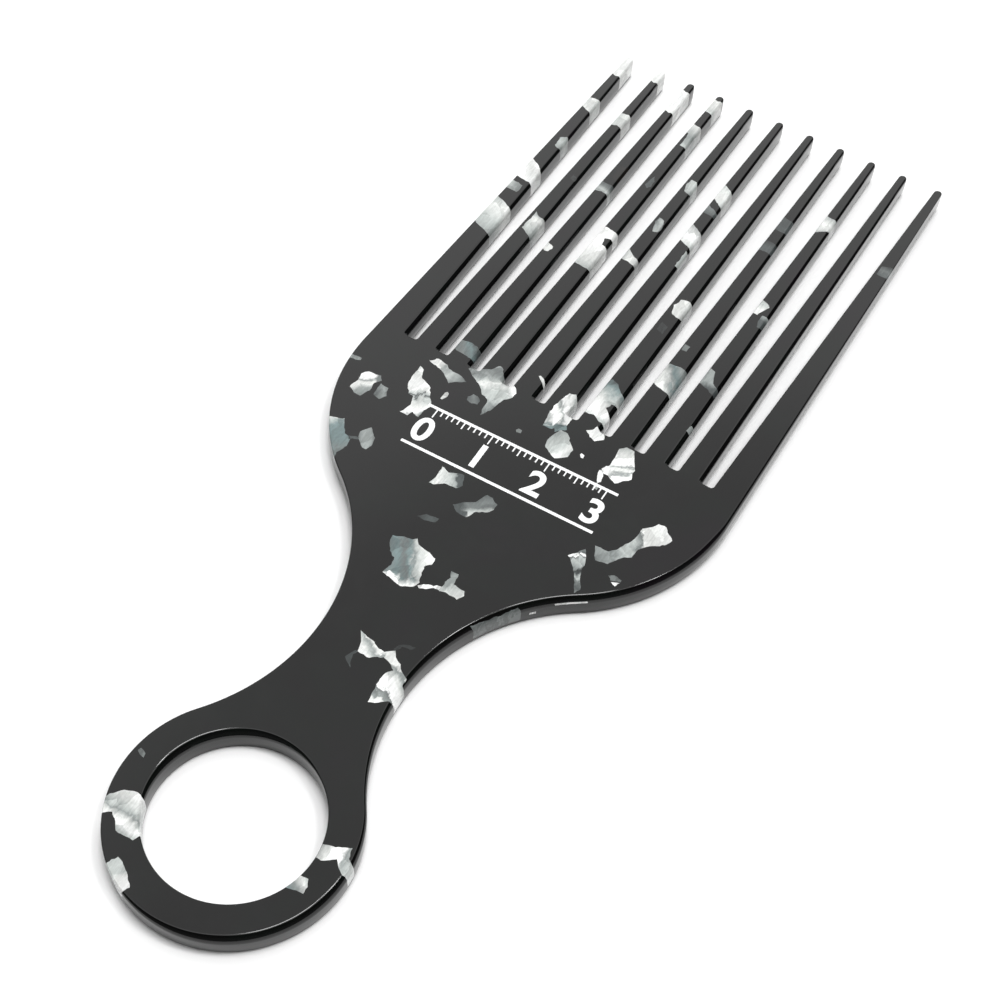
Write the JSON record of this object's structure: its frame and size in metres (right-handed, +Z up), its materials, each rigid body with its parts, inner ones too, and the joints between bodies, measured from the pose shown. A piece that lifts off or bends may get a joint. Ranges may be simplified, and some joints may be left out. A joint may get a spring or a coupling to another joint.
{
  "type": "beard pick",
  "caption": "Flat hand pick with long tapered teeth, rounded shoulders, a slim waist and a finger ring, cut from one sheet of black acetate with pearl flakes.",
  "frame": {"origin": "centre of the underside, at mid-length", "axes": "+Y along the teeth towards their tips, +X across the teeth, +Z up out of the printed face; the pick lies on its back"},
  "size_m": [0.0662, 0.179, 0.0039],
  "materials": {
    "black_acetate": "polished",
    "pearl_white": "polished",
    "pearl_pale": "polished",
    "pearl_grey": "polished",
    "pearl_teal": "polished",
    "pearl_dark": "polished"
  },
  "bodies": {
    "root": {"comb_plate": "black_acetate", "pearl_chip_ring_left": "pearl_white", "pearl_chip_ring_lower_left": "pearl_grey", "pearl_chip_ring_right": "pearl_white", "pearl_chip_ring_bore_right": "pearl_teal", "pearl_chip_neck": "pearl_white", "pearl_chip_body_left_high": "pearl_white", "pearl_chip_body_left_small": "pearl_grey", "pearl_chip_body_left_low": "pearl_teal", "pearl_chip_body_left_wedge": "pearl_grey", "pearl_chip_body_left_large": "pearl_white", "pearl_chip_body_left_top": "pearl_white", "pearl_chip_body_spot": "pearl_dark", "pearl_chip_body_centre_top": "pearl_teal", "pearl_chip_body_centre_star": "pearl_white", "pearl_chip_body_right_top": "pearl_white", "pearl_chip_body_low_star": "pearl_white", "pearl_chip_body_low_leaf": "pearl_grey", "pearl_chip_body_low_sliver": "pearl_dark", "pearl_chip_body_low_large": "pearl_white", "pearl_chip_body_low_fin": "pearl_white", "pearl_chip_body_right_wedge": "pearl_white", "pearl_chip_body_right_large": "pearl_white", "pearl_chip_root_left": "pearl_white", "pearl_chip_root_centre": "pearl_white", "pearl_chip_tooth_01_tip": "pearl_white", "pearl_chip_tooth_01_high": "pearl_white", "pearl_chip_tooth_01_upper_mid": "pearl_pale", "pearl_chip_tooth_01_mid": "pearl_white", "pearl_chip_tooth_01_lower_mid": "pearl_pale", "pearl_chip_tooth_01_low": "pearl_pale", "pearl_chip_tooth_02_tip": "pearl_white", "pearl_chip_tooth_02_high": "pearl_pale", "pearl_chip_tooth_02_mid": "pearl_pale", "pearl_chip_tooth_03_tip": "pearl_white", "pearl_chip_tooth_03_mid": "pearl_teal", "pearl_chip_tooth_03_root": "pearl_teal", "pearl_chip_tooth_04_tip": "pearl_grey", "pearl_chip_tooth_04_high": "pearl_pale", "pearl_chip_tooth_04_mid": "pearl_white", "pearl_chip_tooth_05_high": "pearl_white", "pearl_chip_tooth_05_mid": "pearl_white", "pearl_chip_tooth_05_low": "pearl_white", "pearl_chip_tooth_06_high": "pearl_white", "pearl_chip_tooth_06_upper_mid": "pearl_dark", "pearl_chip_tooth_06_mid": "pearl_white", "pearl_chip_tooth_07_mid": "pearl_white", "pearl_chip_tooth_07_root": "pearl_white", "pearl_chip_tooth_08_high": "pearl_dark", "pearl_chip_tooth_08_upper_mid": "pearl_grey", "pearl_chip_tooth_08_low": "pearl_white", "pearl_chip_tooth_09_high": "pearl_pale", "pearl_chip_tooth_09_upper_mid": "pearl_white", "pearl_chip_tooth_09_mid": "pearl_teal", "pearl_chip_tooth_09_low": "pearl_grey", "pearl_chip_tooth_11_high": "pearl_grey"}
  },
  "joints": []
}
